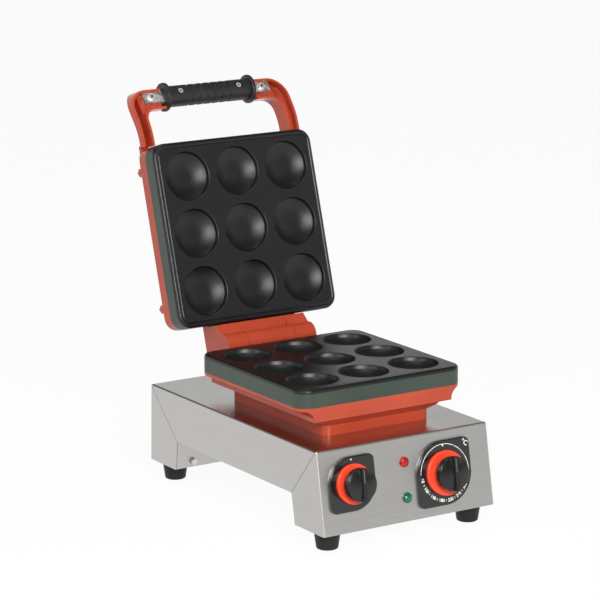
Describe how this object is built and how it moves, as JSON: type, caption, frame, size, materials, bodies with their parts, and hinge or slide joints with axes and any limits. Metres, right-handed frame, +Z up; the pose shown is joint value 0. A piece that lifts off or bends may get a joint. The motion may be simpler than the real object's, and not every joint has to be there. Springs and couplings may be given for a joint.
{
  "type": "plate baker",
  "caption": "Table-top baker with a folded stainless base, two hinged black plates of round cups, red castings and two control knobs.",
  "frame": {"origin": "centre of the bounding box at table height, lid open", "axes": "+Z up, -Y out of the control panel, +X to the right seen from the front"},
  "size_m": [0.24, 0.4991, 0.4821],
  "materials": {
    "stainless": "brushed, grain along the panels",
    "enamel": "glossy orange-red enamel on castings",
    "non_stick": "satin black non-stick coating, grey-green edge band",
    "foot_rubber": "matte",
    "fastener": "bright zinc and nickel plating",
    "zinc_bar": "mottled zinc",
    "grip_plastic": "matte",
    "bezel_plastic": "gloss, white printed marks",
    "knob_plastic": "satin, grey pointer line",
    "ring_plastic": "satin",
    "red_lens": "clear, faceted",
    "green_lens": "clear, faceted",
    "heater_steel": "oxidised",
    "control_plastic": "matte",
    "gland_plastic": "satin"
  },
  "bodies": {
    "base": {"base_front": "stainless", "base_top": "stainless", "base_rear": "stainless", "bottom_cover": "stainless", "lower_housing": "enamel", "lower_plate": "non_stick", "foot_front_left": "foot_rubber", "foot_front_right": "foot_rubber", "foot_rear_left": "foot_rubber", "foot_rear_right": "foot_rubber", "foot_screws": "fastener", "bottom_cover_screws": "fastener", "earth_bolt": "fastener", "lower_plate_bolts": "fastener", "lower_housing_bolts": "fastener", "lower_housing_nuts": "fastener", "hinge_pin": "fastener", "lamp_nuts": "fastener", "switch_bezel": "bezel_plastic", "thermostat_bezel": "bezel_plastic", "red_lamp": "red_lens", "green_lamp": "green_lens", "lower_heater": "heater_steel", "thermostat_bulb": "heater_steel", "switch_body": "control_plastic", "thermostat_body": "control_plastic", "terminal_block": "control_plastic", "cable_gland": "gland_plastic", "cable_gland_nut": "gland_plastic"},
    "lid": {"upper_housing": "enamel", "upper_plate": "non_stick", "upper_heater": "heater_steel", "upper_plate_nuts": "fastener", "handle_arm_left": "enamel", "handle_arm_right": "enamel", "handle_arm_bolts": "fastener", "handle_bar": "zinc_bar", "handle_bar_screws": "fastener", "grip_screws": "fastener", "handle_grip": "grip_plastic", "hinge_caps": "enamel"},
    "switch": {"switch_knob": "knob_plastic", "switch_knob_ring": "ring_plastic", "switch_shaft": "fastener"},
    "thermostat": {"thermostat_knob": "knob_plastic", "thermostat_knob_ring": "ring_plastic", "thermostat_shaft": "fastener"}
  },
  "joints": [
    {"name": "lid_hinge", "type": "hinge", "parent": "base", "child": "lid", "pos_m": [0, 0.0851, 0.1746], "axis": [1, 0, 0], "range_deg": [0, 106.57]},
    {"name": "switch_turn", "type": "hinge", "parent": "base", "child": "switch", "pos_m": [-0.076, -0.21639, 0.07666], "axis": [0, -0.9849, 0.1731], "range_deg": [-90, 0]},
    {"name": "thermostat_turn", "type": "hinge", "parent": "base", "child": "thermostat", "pos_m": [0.0515, -0.2176, 0.06977], "axis": [0, -0.9849, 0.1731], "range_deg": [-270, 0]}
  ]
}
